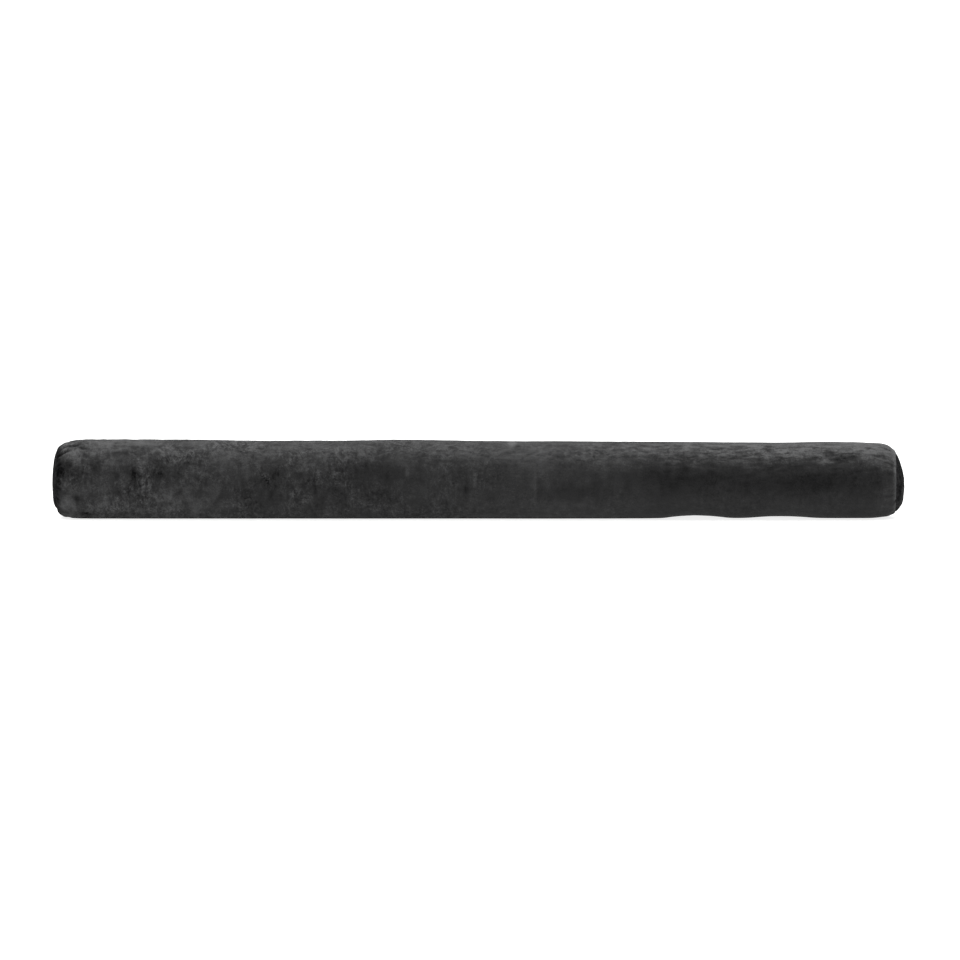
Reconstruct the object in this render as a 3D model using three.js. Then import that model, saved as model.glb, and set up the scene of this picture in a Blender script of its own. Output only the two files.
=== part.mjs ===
// Draught excluder: a velvet sleeve stuffed to a firm roll and closed at each end by a round panel.
// It lies along X on the plane Z = 0. Its front faces -Y. Sizes are in millimetres.
import * as THREE from "three";

const { clamp, degToRad, lerp, smoothstep } = THREE.MathUtils;

// Driving sizes
const overallLength = 900; // over the crowns of the two end panels
const girth = 263; // finished width of the sleeve's panel, which goes round the roll
const clothThickness = 2; // velvet with its pile
const pieceGap = 0.3;
const seamRadius = 33; // finished radius of a round end panel at its seam
const segments = 60; // steps round the roll
const ringStep = 18; // between sections of the straight run
const crownSteps = [0, 0.25, 0.48, 0.68, 0.86]; // rings of an end's crown, as shares of its radius
const shoulderSteps = [1.2, 3, 5.5, 9, 13, 18, 24]; // rings of a shoulder, in from its seam

// Each end: how far its panel bulges past the seam, how fast the sleeve's shoulder falls to the
// seam, and how high above the floor the panel's crown lies. The filling sags, so it lies low.
const ends = [
  { name: "left", side: -1, bulge: 5.8, shoulderReach: 5.8, crownHeight: 35.5, twist: 0 },
  { name: "right", side: 1, bulge: 10.6, shoulderReach: 6.9, crownHeight: 32, twist: 25 },
];

// The stuffing is uneven: how high the roll stands, and how far its underside lifts off the floor
const stations = [
  { at: -416, height: 83.0, lift: 0 },
  { at: -370, height: 82.8, lift: 0 },
  { at: -300, height: 82.3, lift: 0 },
  { at: -215, height: 81.2, lift: 0 },
  { at: -150, height: 81.3, lift: 0 },
  { at: -80, height: 82.2, lift: 0 },
  { at: 0, height: 81.0, lift: 0 },
  { at: 60, height: 80.6, lift: 0 },
  { at: 140, height: 80.3, lift: 0 },
  { at: 185, height: 79.6, lift: 0 },
  { at: 233, height: 79.2, lift: 2.4 },
  { at: 268, height: 78.8, lift: 0 },
  { at: 318, height: 78.4, lift: 1.4 },
  { at: 370, height: 79.4, lift: 0 },
  { at: 416, height: 78.6, lift: 0 },
];

// Soft dents pressed into the filling: the middle of each along the roll and round it in degrees
// from the top (negative is the front), its half length, its half width and its depth
const dents = [
  { at: -424, turn: -38, alongReach: 12, roundReach: 5, depth: 1.6 },
  { at: -402, turn: -112, alongReach: 22, roundReach: 9, depth: 1.2 },
  { at: -330, turn: -78, alongReach: 16, roundReach: 14, depth: 1.0 },
  { at: -218, turn: -98, alongReach: 17, roundReach: 12, depth: 1.2 },
  { at: -128, turn: 64, alongReach: 40, roundReach: 16, depth: 1.3 },
  { at: -12, turn: -92, alongReach: 11, roundReach: 15, depth: 1.1 },
  { at: 58, turn: -84, alongReach: 14, roundReach: 22, depth: 1.0 },
  { at: 120, turn: 88, alongReach: 32, roundReach: 14, depth: 1.2 },
  { at: 236, turn: -58, alongReach: 26, roundReach: 8, depth: 1.2 },
  { at: 322, turn: -34, alongReach: 40, roundReach: 6, depth: 1.3 },
  { at: 356, turn: 60, alongReach: 28, roundReach: 12, depth: 1.1 },
];

const gathers = { count: 15, depth: 1.5, reach: 5 }; // the sleeve is eased onto the smaller panel
const closingSeam = { turn: 126, depth: 1.0 }; // the sleeve's long seam, low on the back
const underside = { squareness: 2.3, press: 1.5 }; // how the filling flattens on the floor

const endOf = (x) => (x < 0 ? ends[0] : ends[1]);
const seamAt = (end) => overallLength / 2 - end.bulge; // distance of a seam from the middle
const fromSeam = (x) => Math.max(0, seamAt(endOf(x)) - Math.abs(x));

// Height and lift of the roll at x, eased from one station to the next
function stationAt(x) {
  const first = stations[0];
  const last = stations[stations.length - 1];
  const place = clamp(x, first.at, last.at);
  const next = Math.max(1, stations.findIndex((s) => s.at >= place));
  const [a, b] = [stations[next - 1], stations[next]];
  const share = smoothstep(place, a.at, b.at);
  return { height: lerp(a.height, b.height, share), lift: lerp(a.lift, b.lift, share) };
}

// Radius of the roll before it slumps: half its height, less where a shoulder turns in to its seam
const fullRadius = (x) => stationAt(x).height / 2;
function skinRadius(x) {
  const turnedIn = Math.exp(-fromSeam(x) / endOf(x).shoulderReach);
  return lerp(fullRadius(x), seamRadius, turnedIn);
}

// Outline of the stuffed roll at x. Turn is the angle from the top, positive towards the back.
// Where it isn't lifted, the underside would reach a little below the floor, which flattens it.
function outline(x, turn) {
  const { height, lift } = stationAt(x);
  const onFloor = smoothstep(fromSeam(x), 2, 26); // the ends stay round and clear of the floor
  const halfWidth = lerp(height / 2, girth / Math.PI - height / 2, onFloor);
  const widest = height * lerp(0.5, 0.485, onFloor);
  const across = Math.sin(turn);
  const up = Math.cos(turn);
  if (up >= 0) {
    return { y: halfWidth * across, z: widest + (height - widest) * up };
  }
  const power = 2 / lerp(2, underside.squareness, onFloor);
  const pressed = underside.press * onFloor * (1 - smoothstep(lift, 0, 1));
  return {
    y: halfWidth * Math.sign(across) * Math.pow(Math.abs(across), power),
    z: widest - (widest - lift + pressed) * Math.pow(-up, power),
  };
}

// How far the surface is pressed in at x and turn by dents, gathers and the closing seam
function pressedIn(x, turn) {
  const degrees = THREE.MathUtils.radToDeg(turn);
  const offSeam = smoothstep(fromSeam(x), 0, 10);
  let depth = 0;
  for (const dent of dents) {
    const along = (x - dent.at) / dent.alongReach;
    const round = (degToRad(degrees - dent.turn) * fullRadius(x)) / dent.roundReach;
    depth += dent.depth * offSeam * Math.exp(-along * along - round * round);
  }
  const near = fromSeam(x) / gathers.reach;
  const wave = gathers.count * turn + 1.6 * Math.sin(3 * turn + endOf(x).twist);
  const uneven = 0.7 + 0.3 * Math.sin(2 * turn + endOf(x).twist);
  depth += gathers.depth * uneven * near * Math.exp(1 - near) * (0.5 + 0.5 * Math.cos(wave));
  const fromStitching = Math.abs(degrees - closingSeam.turn);
  if (fromStitching < 180 / segments) depth += closingSeam.depth * offSeam;
  return depth;
}

// Bends a turned shape to the roll: a lathe's axis becomes the core line, which sinks to the
// crown's height near each end, and its radius becomes a share of the outline there
function laidDown(turned) {
  const position = turned.getAttribute("position");
  for (let i = 0; i < position.count; i++) {
    const radius = Math.hypot(position.getX(i), position.getZ(i));
    const turn = Math.atan2(position.getX(i), -position.getZ(i));
    const x = position.getY(i);
    const end = endOf(x);
    const edge = outline(x, turn);
    const sink = 1 - smoothstep(fromSeam(x), 0, 60);
    const core = lerp(fullRadius(x), end.crownHeight, sink);
    const onSkin = radius > skinRadius(x) - pieceGap / 2;
    const share = (radius - (onSkin ? pressedIn(x, turn) : 0)) / fullRadius(x);
    position.setXYZ(i, x, share * edge.y, Math.max(0, core + share * (edge.z - core)));
  }
  turned.deleteAttribute("normal");
  turned.deleteAttribute("uv");
  return turned;
}

// Distance from the middle of an end panel's face at a radius: a shallow crown on the seam
function crownAt(end, radius) {
  const share = radius / seamRadius;
  return seamAt(end) + end.bulge * (1 - share * share);
}

// The stuffed sleeve, with the filling's crown behind each panel and a lip of cloth round it
function makeSleeve() {
  const recess = clothThickness + pieceGap;
  const crown = (end) =>
    crownSteps.map((share) => {
      const radius = share * seamRadius;
      return new THREE.Vector2(radius, end.side * (crownAt(end, radius) - recess));
    });
  const lip = (end) => [
    new THREE.Vector2(seamRadius - pieceGap, end.side * (seamAt(end) - recess)),
    new THREE.Vector2(seamRadius, end.side * seamAt(end)),
  ];
  const shoulder = (end) =>
    shoulderSteps.map((inward) => {
      const x = end.side * (seamAt(end) - inward);
      return new THREE.Vector2(skinRadius(x), x);
    });
  const halfOf = (end) => [...crown(end), ...lip(end), ...shoulder(end)];
  const [left, right] = ends;
  const from = -seamAt(left) + 30;
  const to = seamAt(right) - 30;
  const rings = Math.round((to - from) / ringStep);
  const straight = Array.from({ length: rings + 1 }, (_, i) => {
    const x = lerp(from, to, i / rings);
    return new THREE.Vector2(skinRadius(x), x);
  });
  const profile = [...halfOf(left), ...straight, ...halfOf(right).reverse()];
  return laidDown(new THREE.LatheGeometry(profile, segments));
}

// A round velvet panel, crowned by the filling behind it
function makeEndPanel(end) {
  const rim = seamRadius - 2 * pieceGap;
  const radii = [...crownSteps.map((share) => share * seamRadius), rim];
  const face = (depth) =>
    radii.map((radius) => new THREE.Vector2(radius, end.side * (crownAt(end, radius) - depth)));
  const profile = [...face(clothThickness), ...face(0).reverse()];
  if (end.side < 0) profile.reverse();
  return laidDown(new THREE.LatheGeometry(profile, segments));
}

const velvet = new THREE.MeshStandardMaterial({ color: 0x37373a, roughness: 0.92, metalness: 0 });

function makePiece(name, geometry) {
  const piece = new THREE.Mesh(geometry, velvet.clone());
  piece.name = name;
  return piece;
}

const draughtExcluder = new THREE.Group();
draughtExcluder.name = "draught_excluder";
draughtExcluder.add(makePiece("sleeve", makeSleeve()));
for (const end of ends) {
  draughtExcluder.add(makePiece(`end_panel_${end.name}`, makeEndPanel(end)));
}

export default draughtExcluder;
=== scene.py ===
import math
import bpy
import numpy as np
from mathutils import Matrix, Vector
from mathutils.bvhtree import BVHTree


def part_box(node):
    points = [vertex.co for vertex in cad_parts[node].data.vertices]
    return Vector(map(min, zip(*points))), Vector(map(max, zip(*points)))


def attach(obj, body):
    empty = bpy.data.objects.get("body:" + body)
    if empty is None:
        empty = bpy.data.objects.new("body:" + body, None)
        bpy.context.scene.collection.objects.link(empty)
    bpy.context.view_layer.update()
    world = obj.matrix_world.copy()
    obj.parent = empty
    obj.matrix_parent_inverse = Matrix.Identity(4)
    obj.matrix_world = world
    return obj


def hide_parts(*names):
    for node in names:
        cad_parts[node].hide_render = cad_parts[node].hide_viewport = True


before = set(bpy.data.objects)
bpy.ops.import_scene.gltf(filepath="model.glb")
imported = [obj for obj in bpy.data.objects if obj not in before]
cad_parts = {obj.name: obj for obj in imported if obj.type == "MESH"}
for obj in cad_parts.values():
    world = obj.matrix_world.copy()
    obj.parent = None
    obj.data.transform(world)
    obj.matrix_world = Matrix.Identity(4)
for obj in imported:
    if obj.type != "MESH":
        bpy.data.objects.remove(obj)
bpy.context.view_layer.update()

# A draught excluder: a crushed velvet sleeve, stuffed to a firm roll, with a round panel sewn into each end.
# It lies along X on the floor. Its front faces -Y and its fuller end is at +X. Lengths are in metres and
# angles in degrees, unless a note says otherwise. A turn is measured from the top, and the back is positive.

mm = 0.001
print("frame loaded:", ", ".join(sorted(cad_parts)))


cameraPlan = {
    "distance": 12.0,
    "elevation": 5.0,
    "turn": 0.0,
    "lens": 426.2,  # mm
    "sensor": 36.0,  # mm wide
    "farthest": 500.0,
    "aim": (0.0016, 0.0, 0.0395),
}


def setCamera(plan):
    data = bpy.data.cameras.new("camera")
    data.lens = plan["lens"]
    data.sensor_width = plan["sensor"]
    data.clip_end = plan["farthest"]
    camera = bpy.data.objects.new("camera", data)
    bpy.context.scene.collection.objects.link(camera)
    turn = math.radians(plan["turn"])
    rise = math.radians(plan["elevation"])
    away = Vector((math.sin(turn) * math.cos(rise), -math.cos(turn) * math.cos(rise), math.sin(rise)))
    camera.location = Vector(plan["aim"]) + away * plan["distance"]
    camera.rotation_euler = (-away).to_track_quat("-Z", "Y").to_euler()
    bpy.context.scene.camera = camera


setCamera(cameraPlan)
print("camera set")


def smooth(value, start, full):
    # 0 at start and before it, 1 at full and past it, eased between them
    share = np.clip((value - start) / (full - start), 0.0, 1.0)
    return share * share * (3 - 2 * share)


def within(value, start, full, stillFull, finish):
    # Eased in from start to full, and out again from stillFull to finish
    return smooth(value, start, full) * smooth(value, finish, stillFull)


def hump(offset, width):
    # 1 in the middle, dying away on both sides
    return np.exp(-((offset / width) ** 2))


def swell(inward, reach):
    # Nothing at a seam, 1 where it has run in by its reach, then dying away
    share = inward / reach
    return share * np.exp(1 - share)


def unevenness(along, around, size, seed, wrap=None):
    # Soft noise from -1 to 1 on the flat cloth. size is along and around; wrap is the girth it closes on.
    draw = np.random.RandomState(seed)
    cellsAlong = 1024
    cellsRound = max(4, round(wrap / size[1])) if wrap else 512
    grid = draw.uniform(-1, 1, (cellsAlong, cellsRound))
    u = along / size[0] + 400.37  # the cloth starts well inside the grid
    v = around / (wrap / cellsRound) if wrap else around / size[1] + 200.11
    i, j = np.floor(u).astype(int), np.floor(v).astype(int)
    fu, fv = smooth(u - i, 0, 1), smooth(v - j, 0, 1)

    def pick(a, b):
        return grid[a % cellsAlong, b % cellsRound]

    low = pick(i, j) * (1 - fv) + pick(i, j + 1) * fv
    high = pick(i + 1, j) * (1 - fv) + pick(i + 1, j + 1) * fv
    return low * (1 - fu) + high * fu


def meshPiece(name, points, faces=(), edges=()):
    mesh = bpy.data.meshes.new(name)
    mesh.from_pydata([tuple(p) for p in points], edges, faces)
    mesh.update()
    piece = bpy.data.objects.new(name, mesh)
    bpy.context.scene.collection.objects.link(piece)
    return piece


def lay(piece, name, values):
    piece.data.attributes.new(name, "FLOAT", "POINT").data.foreach_set("value", values.astype(np.float32))


def cornersOf(piece):
    # The point that each corner of each face stands on
    corners = np.zeros(len(piece.data.loops), int)
    piece.data.loops.foreach_get("vertex_index", corners)
    return corners


def layCut(piece, flat):
    # The flat cut of the cloth as a UV map in metres, one place for each corner
    layer = piece.data.uv_layers.new(name="cut")
    layer.data.foreach_set("uv", flat.reshape(-1).astype(np.float32))


def surfaceOf(nodeName):
    return BVHTree.FromObject(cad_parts[nodeName], bpy.context.evaluated_depsgraph_get())


def meet(surface, start, heading):
    return surface.ray_cast(Vector(start), Vector(heading))[0]


def meetEnd(surface, side, y, z):
    # Where the surface lies, seen from well past that end of the roll
    return meet(surface, (side * 0.6, y, z), (-side, 0, 0))


sleevePlan = {
    "girth": 0.263,
    "roundSteps": 100,  # quads round the roll, doubled when it is refined
    "ringStep": 4.3 * mm,  # between rings on the straight run, halved when it is refined
    "shoulderStep": 1.8 * mm,  # between the first rings of a shoulder, measured along the cloth
    "shoulder": 40 * mm,  # how far the closer rings reach in from a seam
    "shoulderFall": 8 * mm,  # from the roll down to a seam
    "firstRing": 0.02 * mm,  # in from a seam
    "panelInset": 0.6 * mm,  # of a panel's edge inside its seam
    "closingSeam": 127.0,  # turn of the long seam, low on the back
    "smoothings": 3,  # take off the facets of the solid
    "wrinkles": 0.06 * mm,  # in the cloth before it is filled
    "lipStep": 0.8 * mm,  # of cloth from ring to ring where it turns in behind a panel
    "seed": 11,
}
ends = {
    "left": {
        "side": -1,
        "node": "end_panel_left",
        "bulge": 5.8 * mm,  # of the panel past its seam
        "reach": 5.8 * mm,  # run in which most of the shoulder's fall lies
        "twist": 0.4,  # sets where the tucks and the puckers lie
        "heel": 1.1 * mm,  # how far the shoulder stands out below
        "fall": 0.75 * mm,  # how far the shoulder sinks on top
        "lipPaintedLight": -3.6,  # painted light beside the seam: painted shade below 0, painted highlight above it
        "lipPaintedLightWidth": 4.2 * mm,
        "panelHighlight": 0.3,  # painted highlight just below the panel's middle
        "sag": 1.3 * mm,  # how far the filling pushes out the panel's lower half
        "rise": 0.6 * mm,  # and its upper half
        "drop": 0.0,  # how far the panel's lower edge is stretched, as a share
    },
    "right": {
        "side": 1,
        "node": "end_panel_right",
        "bulge": 10.6 * mm,
        "reach": 6.9 * mm,
        "twist": 2.1,
        "heel": 0.3 * mm,
        "fall": 0.0,
        # a painted highlight on the lip
        "lipPaintedLight": 1.9,
        "lipPaintedLightWidth": 2.6 * mm,
        "panelHighlight": 2.1,
        "sag": 1.6 * mm,
        "rise": 0.0,
        "drop": 0.03,
    },
}


def fitEnd(end):
    low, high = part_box(end["node"])
    end["middle"] = (low.z + high.z) / 2
    end["rim"] = (high.z - low.z) / 2 + sleevePlan["panelInset"]
    end["seamX"] = end["side"] * (max(abs(low.x), abs(high.x)) - end["bulge"])


def ringPlaces(plan):
    # Closer together in the gathered ends, where they follow the shoulder's curve, and even between them
    half = []
    for end in (ends["left"], ends["right"]):
        places = []
        inward = 0.0
        while inward < plan["shoulder"]:
            places.append(end["seamX"] - end["side"] * (inward + plan["firstRing"]))
            slope = plan["shoulderFall"] / end["reach"] * math.exp(-inward / end["reach"])
            inward += plan["shoulderStep"] / math.hypot(1, slope) * (1 + inward / plan["shoulder"])
        half.append(places)
    left, right = half[0], half[1][::-1]
    count = round((right[0] - left[-1]) / plan["ringStep"])
    between = np.linspace(left[-1], right[0], count + 1)[1:-1]
    return np.array(left + list(between) + right)


def restingSkin(skin, places, turns, plan):
    # The outer skin of the solid roll, read along rays that start well outside it and head for its middle
    # line. The first step of each ring is at the closing seam, so the cut edges of the cloth meet there.
    points = np.zeros((len(places), len(turns), 3))
    for r, x in enumerate(places):
        top = meet(skin, (x, 0, 0.3), (0, 0, -1))
        bottom = meet(skin, (x, 0, -0.1), (0, 0, 1))
        middle = Vector((x, 0, (top.z + bottom.z) / 2))
        for s, turn in enumerate(turns):
            out = Vector((0, math.sin(turn), math.cos(turn)))
            points[r, s] = meet(skin, middle + out * 0.2, -out)
    for _ in range(plan["smoothings"]):
        points = (np.roll(points, 1, 1) + 2 * points + np.roll(points, -1, 1)) / 4
        points[1:-1] = (points[:-2] + 2 * points[1:-1] + points[2:]) / 4
    points[:, :, 0] = places[:, None]
    return points


def gridNormals(points):
    along = np.gradient(points, axis=0)
    around = np.roll(points, -1, 1) - np.roll(points, 1, 1)
    out = np.cross(along, around)
    out /= np.linalg.norm(out, axis=2, keepdims=True)
    return out


def arcsOf(points):
    # Distance along the cloth from the middle of the roll, ring by ring
    steps = np.linalg.norm(np.diff(points, axis=0), axis=2).mean(1)
    run = np.concatenate([[0], np.cumsum(steps)])
    return run - run[-1] / 2


def gridFaces(rings, steps):
    return [
        (r * steps + s, (r + 1) * steps + s, (r + 1) * steps + (s + 1) % steps, r * steps + (s + 1) % steps)
        for r in range(rings - 1)
        for s in range(steps)
    ]


settlePlan = {
    "pressure": 4.0,
    "frames": 20,
    "quality": 5,
    "weight": 0.3,
    "bending": 0.35,
    "tension": 14.0,
    "shear": 5.0,
    "slack": 0.010,  # spare cloth along the sleeve, as a share
    "eased": 1.004,  # cloth round the roll, as a share of its girth
    "contact": 0.5 * mm,  # cloth lower than this is pressed on the floor and held
    "clear": 10 * mm,  # cloth higher than this moves freely
    "broadPasses": 30,  # of smoothing, which find the broad bulge that isn't kept
    "endReach": (0.02, 0.07),  # in from a seam, over which the caps change
    "deepestAtEnds": 1.9 * mm,  # caps on what the simulation may move
    "deepestBetween": 0.8 * mm,
    "gainAtEnds": 2.5,  # how much more of the movement is kept at the ends
}


def asCut(points, plan, settings):
    # The sleeve is cut to one width and eased onto smaller round panels, so its rest shape is a plain tube
    # at each end. The filling presses it out, and the spare cloth there buckles into gathers by itself.
    girths = np.linalg.norm(np.roll(points, -1, 1) - points, axis=2).sum(1) * settings["eased"]
    for end in ends.values():
        gatheredHere = np.abs(points[:, 0, 0] - end["seamX"]) < plan["shoulder"]
        girths[gatheredHere] = girths[gatheredHere].max()
    turn = np.arange(points.shape[1]) * 2 * math.pi / points.shape[1]
    tube = np.zeros_like(points)
    tube[:, :, 0] = arcsOf(points)[:, None] * (1 + settings["slack"])
    tube[:, :, 1] = girths[:, None] / (2 * math.pi) * np.sin(turn)
    tube[:, :, 2] = girths[:, None] / (2 * math.pi) * np.cos(turn)
    return tube


def putFilling(cloth, settings):
    modifier = cloth.modifiers.new("filling", "CLOTH")
    fabric = modifier.settings
    fabric.quality = settings["quality"]
    fabric.mass = settings["weight"]
    fabric.tension_stiffness = settings["tension"]
    fabric.compression_stiffness = settings["tension"]
    fabric.shear_stiffness = settings["shear"]
    fabric.bending_stiffness = settings["bending"]
    fabric.use_pressure = True
    fabric.uniform_pressure_force = settings["pressure"]
    fabric.effector_weights.gravity = 0.0
    fabric.vertex_group_mass = "held"
    fabric.rest_shape_key = cloth.data.shape_keys.key_blocks["asCut"]
    modifier.collision_settings.use_collision = False
    modifier.point_cache.frame_start = 1
    modifier.point_cache.frame_end = settings["frames"]


def settle(points, plan, settings):
    rings, steps = points.shape[:2]
    cloth = meshPiece("settling", points.reshape(-1, 3), gridFaces(rings, steps))
    cloth.shape_key_add(name="lying")
    flat = cloth.shape_key_add(name="asCut")
    flat.data.foreach_set("co", asCut(points, plan, settings).reshape(-1).astype(np.float32))
    held = cloth.vertex_groups.new(name="held")
    low = points[:, :, 2].reshape(-1) < settings["contact"]
    ring = np.repeat(np.arange(rings), steps)
    sewn = (ring == 0) | (ring == rings - 1)
    held.add([int(i) for i in np.where(sewn | low)[0]], 1.0, "REPLACE")
    putFilling(cloth, settings)
    for step in range(1, settings["frames"] + 1):
        bpy.context.scene.frame_set(step)
    settled = np.zeros(rings * steps * 3, np.float32)
    evaluated = cloth.evaluated_get(bpy.context.evaluated_depsgraph_get())
    evaluated.data.vertices.foreach_get("co", settled)
    bpy.data.objects.remove(cloth)
    bpy.context.scene.frame_set(1)
    return settled.reshape(points.shape).astype(float)


def fromSeams(x):
    # Distance in from the nearer end's seam
    return np.minimum(x - ends["left"]["seamX"], ends["right"]["seamX"] - x)


def gathered(points, settled, settings):
    # Keeps the puckers and wrinkles of the settled cloth on the roll's own shape, within the caps
    out = gridNormals(points)
    moved = ((settled - points) * out).sum(2)
    broad = moved.copy()
    for _ in range(settings["broadPasses"]):
        broad = (np.roll(broad, 1, 1) + 2 * broad + np.roll(broad, -1, 1)) / 4
        broad[1:-1] = (broad[:-2] + 2 * broad[1:-1] + broad[2:]) / 4
    nearEnd = 1 - smooth(fromSeams(points[:, :, 0]), *settings["endReach"])
    cap = settings["deepestBetween"] + (settings["deepestAtEnds"] - settings["deepestBetween"]) * nearEnd
    gain = 1 + (settings["gainAtEnds"] - 1) * nearEnd
    free = smooth(points[:, :, 2], settings["contact"], settings["clear"])
    kept = cap * np.tanh(gain * (moved - broad) / cap) * free
    return points + out * kept[:, :, None]


def refine(points):
    # One round of cubic subdivision on the ring grid, closed round the roll
    def split(p, closed):
        ahead = np.roll(p, -1, 0)
        behind = np.roll(p, 1, 0)
        kept = (behind + 6 * p + ahead) / 8
        if not closed:
            kept[0], kept[-1] = p[0], p[-1]
        made = np.empty((2 * len(p),) + p.shape[1:])
        made[0::2] = kept
        made[1::2] = (p + ahead) / 2
        return made if closed else made[:-1]

    points = split(points, False)
    return np.swapaxes(split(np.swapaxes(points, 0, 1), True), 0, 1)


# Marks crushed into the pile: the middle of each along the roll in mm and round it in degrees from the top
# (the front is negative), its size along and round in mm, its lean, how light it is, and its relief in mm. A
# few at the seams are painted highlights and painted shade, noted where they stand.
crushMarks = [
    # at, turn, along, round, lean, tone, relief
    (-435, -38, 5.0, 1.6, 15, -2.8, -0.8),
    (-436, -31, 5.0, 1.4, 30, 1.8, 0.5),
    (-428, -26, 7.0, 2.0, 12, -2.6, -0.9),
    (-419, -31, 5.0, 2.0, -40, -2.2, -0.8),
    (-436, -14, 8.0, 2.0, 35, 1.4, 0.3),
    (-431, -60, 3.0, 5.0, 20, -0.8, -0.3),
    (-407, -53, 8.0, 2.4, -8, -0.9, -0.4),
    (-402, -70, 6.0, 5.5, 20, -0.8, -0.3),
    (-336, -73, 9, 10, 20, -0.8, -0.3),
    (-413, -143, 7, 2.4, 0, -1.3, -0.4),
    (-425, -113, 16, 2.6, -23, -1.3, -0.7),
    (-431, -111, 4, 1.6, 0, 1.2, 0.2),
    (-314, -105, 2.2, 5, -30, -1.2, -0.4),
    (-363, -79, 2.0, 9, 4, -1.0, -0.5),
    (-217, -105, 2.6, 11, -28, -0.9, -0.5),
    (-152, -49, 2.2, 10, -35, 0.9, 0.4),
    (-75, -74, 1.8, 8, 6, 1.0, 0.3),
    (-4, -90, 1.6, 8, 0, 0.9, 0.2),
    (59, -94, 1.2, 22, 0, 0.7, 0.2),
    (-13, -100, 1.8, 9, 0, -0.9, -0.3),
    (35, -26, 2.6, 5, 0, 1.0, 0.3),
    (41.5, -25, 2.0, 3.2, 0, -1.4, -0.3),
    (314, -27, 30, 1.8, 8, 0.9, 0.5),
    (330, -40, 22, 1.6, 6, 0.7, 0.4),
    (361, -60, 10, 1.6, 3, 0.9, 0.4),
    (434, -29, 4, 2.0, 20, 0.8, 0.5),
    (430, -128, 5, 2.2, -25, 0.7, 0.5),
    # Tiny raised folds at the left seam, painted lighter as highlights
    (-443, -84, 1.0, 3.0, 0, 1.3, 0.1),
    (-443, -94, 1.0, 2.2, 0, 1.1, 0.1),
    (-440, -66, 1.4, 1.2, 0, 0.9, 0.1),
    (-440, -55, 1.3, 1.2, 0, 0.9, 0.1),
    # Lighter at the right lip: a painted highlight
    (438.6, -66, 2.0, 8, 0, 0.9, 0),
    (439.4, -124, 3.6, 1.2, 60, -3.0, -0.4),
    (435.6, -5, 3.2, 28, 0, 0, -1.0),
    (437, -162, 4.0, 14, 0, 0, -0.9),
    # Fuller under the right seam, and darker there with painted shade
    (439.4, 180, 3.0, 22, 0, -1.6, 0.8),
    (-444.2, 180, 3.0, 20, 0, 0, 0.6),
    (-442, -32, 3.5, 13, 0, 0, -1.3),
    # Darker at the top of the left seam: painted shade
    (-443.5, -34, 2.4, 9, 0, -1.5, 0),
    # Tiny raised folds at the right seam, painted lighter as highlights
    (438, -60, 1.4, 1.3, 0, 1.2, 0.1),
    (438, -67, 1.3, 1.3, 0, 1.1, 0.1),
]
# Broad patches where the pile lies darker or lighter: at and turn as above, half length and half width in
# mm, and tone
napPatches = [
    (-426, -47, 8, 9, 0.9),
    (-440, -70, 7, 13, -1.1),
    (-424, -84, 9, 9, -0.4),
    (-402, -70, 8, 8, -0.8),
    (-385, -76, 6, 5, -0.6),
    (-364, -76, 4.5, 9, -0.6),
    (-333, -83, 7, 3.5, -0.6),
    (-300, -58, 8, 7, -0.5),
    (-428, -74, 5, 8, -0.4),
    (-366, -124, 14, 4, -0.4),
    (-292, -97, 11, 10, -0.35),
    (-348, -98, 12, 9, 0.45),
    (-375, -90, 7, 5, 0.55),
    (-289, -32, 11, 9, 0.4),
    (-392, -23, 9, 8, 0.35),
    (-324, -45, 9, 4, 0.45),
    (-371, -80, 13, 9, -0.35),
    (-336, -74, 11, 10, -0.6),
    (-330, -112, 17, 11, 0.2),
    (-433, -131, 10, 9, 0.9),
    (-380, -128, 26, 10, 0.4),
    (-418, -112, 13, 5, -0.4),
    (-414, -145, 8, 4, -0.5),
    (-378, -14, 46, 9, 0.45),
    (-258, -112, 16, 8, -0.4),
    (-236, -105, 15, 20, -0.45),
    (-218, -90, 12, 18, -0.4),
    (-155, -98, 20, 15, -0.35),
    (-128, -72, 9, 10, -0.6),
    (-100, -70, 20, 11, -0.7),
    (-104, -108, 16, 9, -0.7),
    (-19, -86, 10, 16, -0.35),
    (96, -105, 38, 8, -0.5),
    (42, -55, 34, 8, 0.3),
    (120, -62, 22, 8, 0.25),
    (193, -72, 34, 14, -0.55),
    (255, -80, 34, 10, -0.35),
    (286, -100, 16, 7, -0.2),
    (350, -88, 32, 12, -0.5),
    (324, -42, 44, 9, 0.7),
    (420, -38, 22, 10, 0.75),
    (433, -96, 10, 15, 0.75),
    (35, -18, 4, 6.5, 1.8),
    (20, -10, 16, 4, 0.5),
    (-262, -28, 60, 9, -0.3),
    (-109, -95, 60, 15, -0.25),
    (181, -66, 52, 9, 0.4),
    (181, -100, 44, 9, -0.2),
    (330, -6, 90, 7, 0.4),
    (392, -10, 44, 10, 0.6),
    (361, -58, 11, 5, 0.7),
    (384, -51, 13, 6, -0.8),
    (308, -24, 5, 8, -0.8),
    (335, -36, 16, 7, 0.35),
    (412, -20, 26, 8, 0.5),
    (319, -62, 28, 5, -0.4),
    (430, -62, 8, 6, 0.7),
    (368, -30, 4, 4, 1.6),
    (300, -18, 60, 6, 0.5),
    (222, -24, 7, 9, 0.9),
    (-300, 60, 30, 14, -0.5),
    (-200, 100, 26, 16, 0.4),
    (-60, 75, 30, 12, -0.4),
    (60, 120, 36, 12, 0.35),
    (210, 70, 40, 14, -0.4),
    (330, 105, 34, 12, 0.4),
]


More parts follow.
